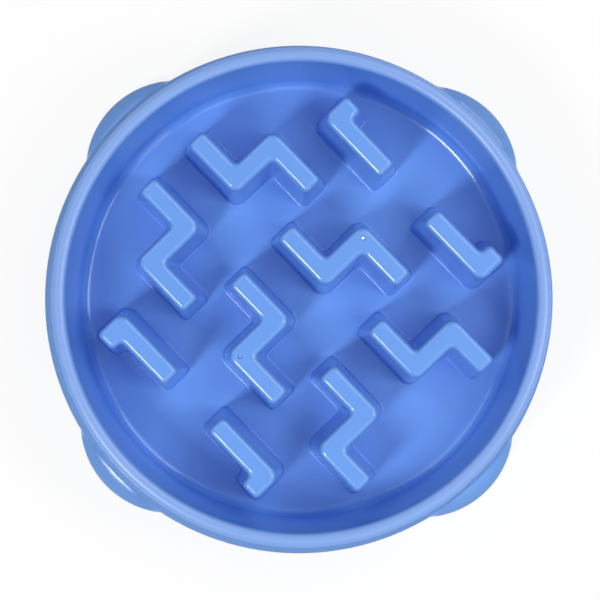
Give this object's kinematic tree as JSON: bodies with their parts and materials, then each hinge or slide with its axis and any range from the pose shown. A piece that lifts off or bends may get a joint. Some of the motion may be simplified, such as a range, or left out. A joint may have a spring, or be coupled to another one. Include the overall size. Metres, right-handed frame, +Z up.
{
  "type": "slow feeder bowl",
  "caption": "Round moulded pet bowl with drafted zigzag maze ridges that slow eating, a flared outer wall and low foot lobes on rubber pads.",
  "frame": {"origin": "middle of the bowl, on the surface that its foot pads stand on", "axes": "+Z up out of the bowl's mouth; +X along the long legs of the maze ridges, with lobes on +X, -X, +Y and -Y"},
  "size_m": [0.292, 0.292, 0.064],
  "materials": {
    "bowl_plastic": "glossy moulded polypropylene, with a fine satin texture on the tops of the ridges and rim",
    "pad_rubber": "matte moulded thermoplastic rubber"
  },
  "bodies": {
    "root": {"bowl": "bowl_plastic", "foot_pad_right": "pad_rubber", "foot_pad_back": "pad_rubber", "foot_pad_left": "pad_rubber", "foot_pad_front": "pad_rubber"}
  },
  "joints": []
}
